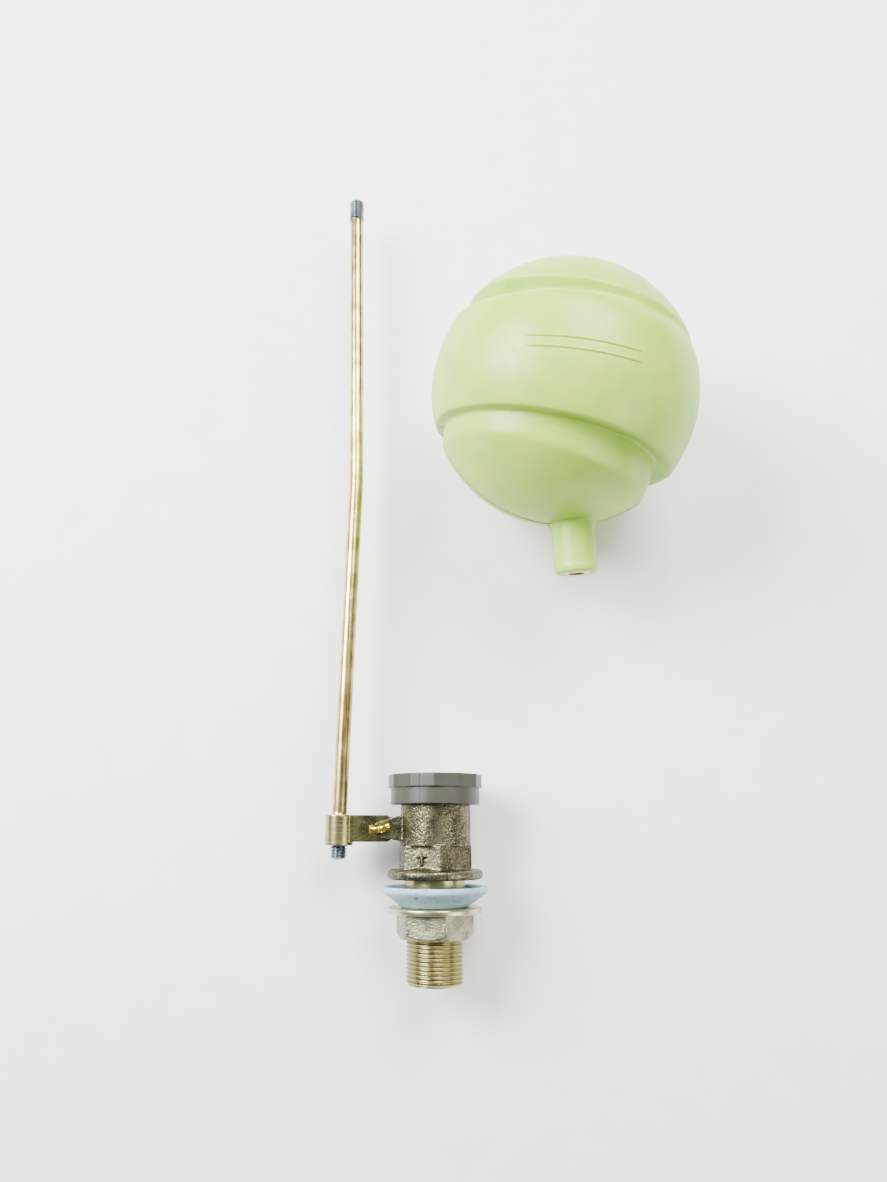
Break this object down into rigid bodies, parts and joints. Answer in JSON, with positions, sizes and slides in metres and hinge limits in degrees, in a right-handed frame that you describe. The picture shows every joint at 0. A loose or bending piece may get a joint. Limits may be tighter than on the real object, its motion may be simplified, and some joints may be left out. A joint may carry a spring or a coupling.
{
  "type": "float valve",
  "caption": "Brass piston float valve with threaded inlet shank, back nut, cone washer, screw cap, lever and rod, and its loose ball float.",
  "frame": {"origin": "centre of the free end face of the threaded inlet shank", "axes": "+Y along the valve from inlet to end cap, +Z along the lever's pivot axis and away from the surface the parts lie on, the lever leaves the body towards -X"},
  "size_m": [0.1796, 0.4172, 0.129],
  "materials": {
    "cast_brass": "rough sand cast, dull green-grey brass with machined threads",
    "lever_brass": "rough cast bar, machined bright boss",
    "turned_brass": "machined satin",
    "pin_brass": "drawn wire, bright",
    "rod_brass": "drawn and plated, satin, bare steel-coloured threads",
    "nut_brass": "as cast, pale and sparkling",
    "slip_brass": "turned bright",
    "nylon": "moulded satin",
    "fibre": "matte fibre",
    "washer_rubber": "matte",
    "white_plastic": "moulded satin with scuffs",
    "cap_plastic": "moulded satin",
    "float_plastic": "blow moulded, semi-gloss"
  },
  "bodies": {
    "valve": {"valve_body": "cast_brass", "seat_nozzle": "nylon", "seat_gasket": "fibre", "split_pin": "pin_brass"},
    "piston": {"piston": "turned_brass", "piston_washer": "washer_rubber", "washer_cap": "turned_brass"},
    "lever": {"lever_arm": "lever_brass", "float_rod": "rod_brass"},
    "washer": {"slip_washer": "slip_brass"},
    "nut": {"back_nut": "nut_brass"},
    "cone": {"cone_washer": "white_plastic"},
    "cap_seal": {"cap_gasket": "washer_rubber"},
    "cap": {"end_cap": "cap_plastic"},
    "float": {"float_shell": "float_plastic", "float_bush": "turned_brass"}
  },
  "joints": [
    {"name": "lever_swing", "type": "hinge", "parent": "valve", "child": "lever", "pos_m": [-0.0255, 0.0683, 0], "axis": [0, 0, 1], "range_deg": [0, 30]},
    {"name": "piston_slide", "type": "slide", "parent": "valve", "child": "piston", "axis": [0, 1, 0], "range_m": [0, 0.009]},
    {"name": "nut_travel", "type": "slide", "parent": "valve", "child": "washer", "axis": [0, -1, 0], "range_m": [0, 0.0182]},
    {"name": "nut_spin", "type": "hinge", "parent": "washer", "child": "nut", "pos_m": [0, 0.025, 0], "axis": [0, -1, 0], "range_deg": [0, 3600]},
    {"name": "cone_slide", "type": "slide", "parent": "washer", "child": "cone", "axis": [0, 1, 0], "range_m": [0, 0.003]},
    {"name": "cap_travel", "type": "slide", "parent": "valve", "child": "cap_seal", "axis": [0, 1, 0], "range_m": [0, 0.0121]},
    {"name": "cap_spin", "type": "hinge", "parent": "cap_seal", "child": "cap", "pos_m": [0, 0.0865, 0], "axis": [0, 1, 0], "range_deg": [0, 2880]},
    {"name": "float_lift", "type": "slide", "parent": "valve", "child": "float", "axis": [0, 0, 1], "range_m": [0, 0.12]}
  ],
  "couplings": [
    {"joint": "piston_slide", "follows": "lever_swing", "m_per_rad": 0.017},
    {"joint": "nut_travel", "follows": "nut_spin", "m_per_rad": 0.00028871},
    {"joint": "cap_travel", "follows": "cap_spin", "m_per_rad": 0.00023873}
  ]
}
